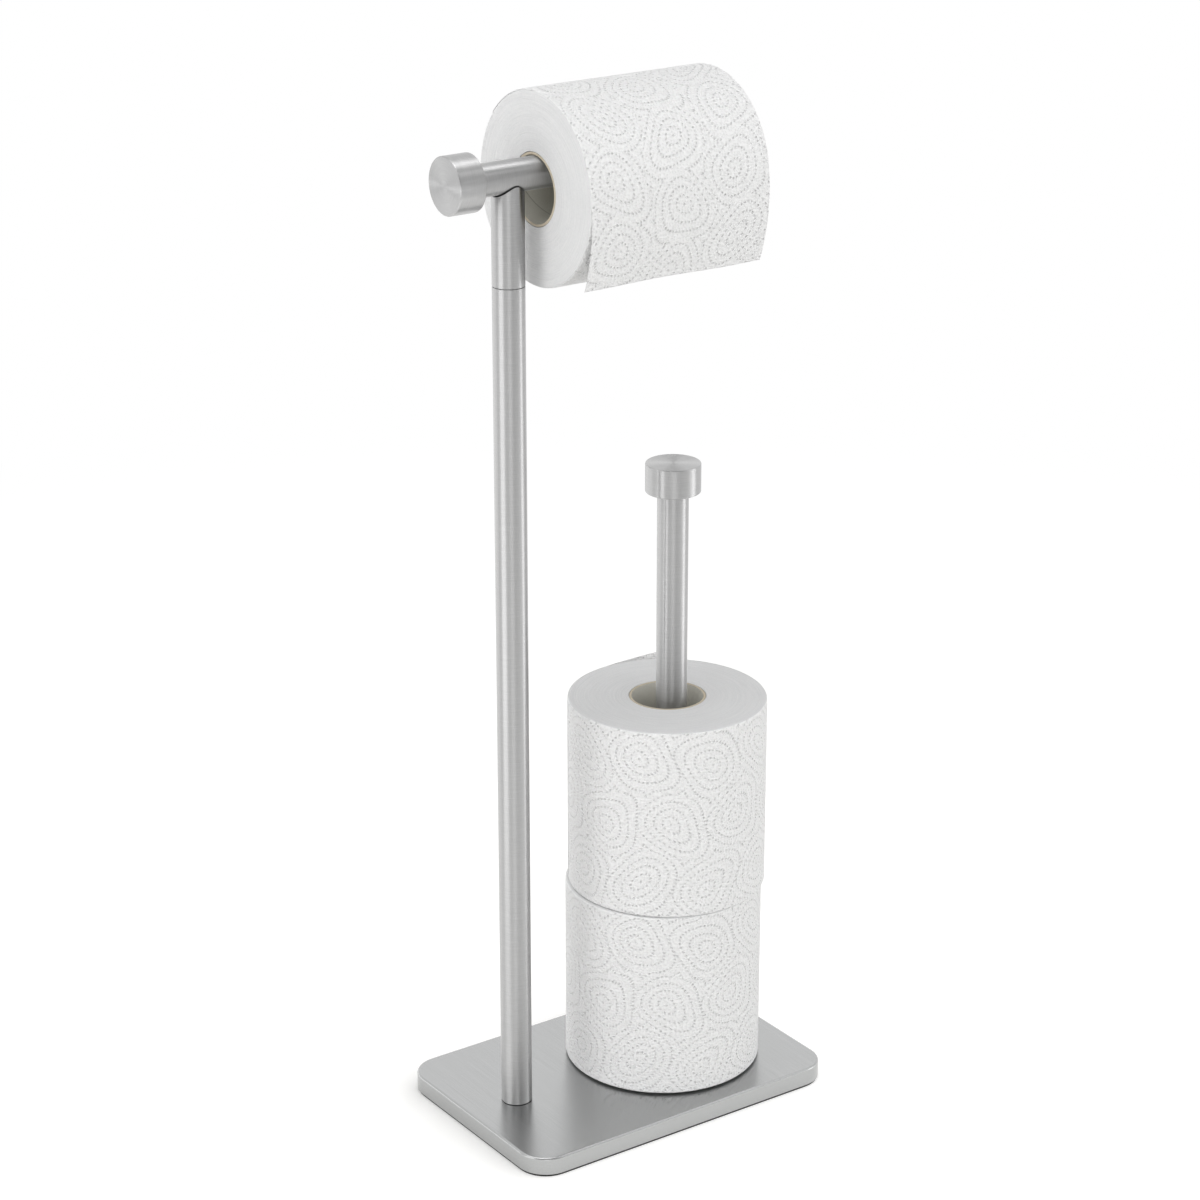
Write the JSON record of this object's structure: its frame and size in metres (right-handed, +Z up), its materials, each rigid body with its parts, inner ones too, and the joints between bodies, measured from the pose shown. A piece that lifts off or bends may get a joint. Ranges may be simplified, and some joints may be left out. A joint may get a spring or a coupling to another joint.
{
  "type": "toilet butler",
  "caption": "Free-standing brushed steel toilet butler with a roll arm, a short post for spare rolls and a weighted base.",
  "frame": {"origin": "centre of the base's underside, on the floor", "axes": "+Z up, +X along the base's long side towards the arm's free end, -Y to the front"},
  "size_m": [0.2181, 0.1404, 0.6065],
  "materials": {
    "brushed_steel": "brushed",
    "cast_weight": "rough",
    "underlay_foam": "matte",
    "plated_steel": "zinc plated",
    "tissue": "embossed",
    "cardboard": "matte"
  },
  "bodies": {
    "stand": {"base_cover": "brushed_steel", "base_weight": "cast_weight", "base_underlay": "underlay_foam", "holder_post_foot_bush": "plated_steel", "holder_post_screw": "plated_steel", "holder_post_washer": "plated_steel", "spare_post_foot_bush": "plated_steel", "spare_post_screw": "plated_steel", "spare_post_washer": "plated_steel", "holder_post_lower": "brushed_steel", "holder_post_upper": "brushed_steel", "lower_joint_bush": "plated_steel", "upper_joint_bush": "plated_steel", "post_joint_stud": "plated_steel", "arm_clamp_bush": "plated_steel", "arm_clamp_screw": "plated_steel", "arm_anchor": "plated_steel", "arm_tube": "brushed_steel", "arm_end_cap": "brushed_steel", "arm_knob": "brushed_steel", "arm_knob_bush": "plated_steel", "arm_knob_stud": "plated_steel", "spare_post": "brushed_steel", "spare_knob": "brushed_steel", "spare_knob_bush": "plated_steel", "spare_knob_stud": "plated_steel"},
    "hanging_loose_end": {"hanging_sheet": "tissue"},
    "hanging_roll": {"hanging_core": "cardboard", "hanging_paper": "tissue"},
    "upper_spare_roll": {"upper_spare_core": "cardboard", "upper_spare_paper": "tissue", "upper_spare_sheet": "tissue"},
    "lower_spare_roll": {"lower_spare_core": "cardboard", "lower_spare_paper": "tissue"}
  },
  "joints": [
    {"name": "roll_slide", "type": "slide", "parent": "stand", "child": "hanging_loose_end", "axis": [1, 0, 0], "range_m": [-0.007, 0.115]},
    {"name": "roll_spin", "type": "hinge", "parent": "hanging_loose_end", "child": "hanging_roll", "pos_m": [0.0023, 0, 0.5529], "axis": [1, 0, 0], "continuous": true},
    {"name": "upper_spare_lift", "type": "slide", "parent": "stand", "child": "upper_spare_roll", "axis": [0, 0, 1], "range_m": [0, 0.256]},
    {"name": "lower_spare_turn", "type": "hinge", "parent": "stand", "child": "lower_spare_roll", "pos_m": [0.03245, 0.0006, 0.0697], "axis": [0, 0, 1], "continuous": true}
  ]
}
